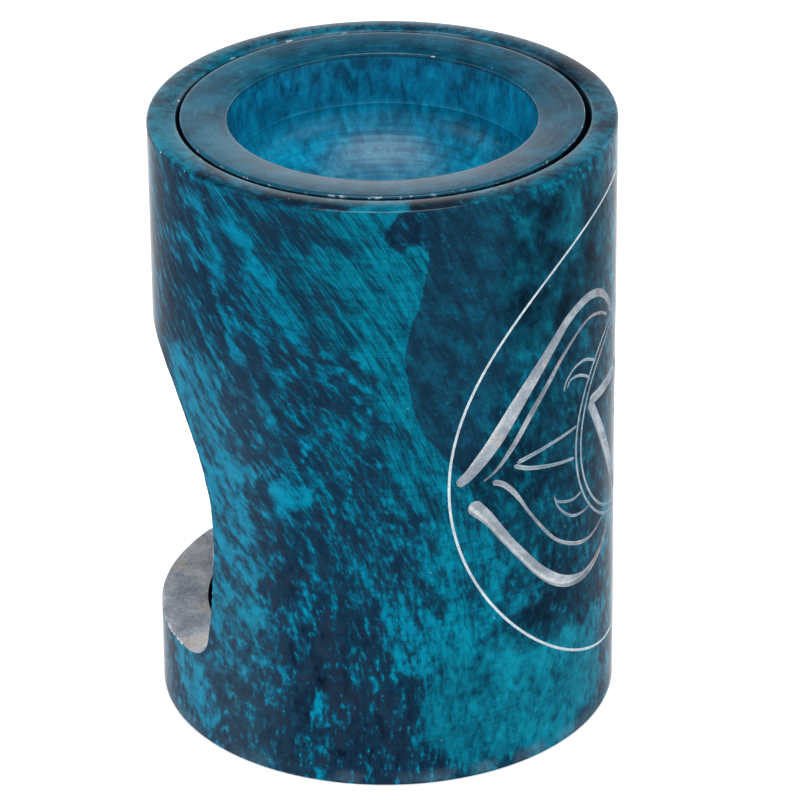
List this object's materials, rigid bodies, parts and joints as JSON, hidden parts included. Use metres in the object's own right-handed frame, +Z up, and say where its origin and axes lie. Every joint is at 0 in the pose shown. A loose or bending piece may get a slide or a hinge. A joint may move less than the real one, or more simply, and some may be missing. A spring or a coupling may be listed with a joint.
{
  "type": "essential oil burner",
  "caption": "Soapstone essential oil burner: a bored cylinder with a sawn mouth for a tealight and a lift-out oil dish flush with its rim.",
  "frame": {"origin": "centre of the flat base, where the burner stands", "axes": "+Z up along the turning axis; +Y out of the mouth at the back; the engraved side faces -Y"},
  "size_m": [0.075, 0.075, 0.102],
  "materials": {
    "dyed_soapstone": "dyed teal over dark veins, polished",
    "pressed_aluminium": "bright pressed foil",
    "paraffin_wax": "cast wax, slightly translucent",
    "cotton_wick": "braided cotton, waxed",
    "tinned_steel": "stamped, tinned"
  },
  "bodies": {
    "burner": {"burner_body": "dyed_soapstone"},
    "dish": {"oil_dish": "dyed_soapstone"},
    "tealight": {"tealight_cup": "pressed_aluminium", "tealight_wax": "paraffin_wax", "tealight_wick": "cotton_wick", "wick_sustainer": "tinned_steel"}
  },
  "joints": [
    {"name": "dish_lift", "type": "slide", "parent": "burner", "child": "dish", "axis": [0, 0, 1], "range_m": [0, 0.03]},
    {"name": "tealight_removal", "type": "slide", "parent": "burner", "child": "tealight", "axis": [0, 0.8192, 0.5735], "range_m": [0, 0.073]}
  ]
}
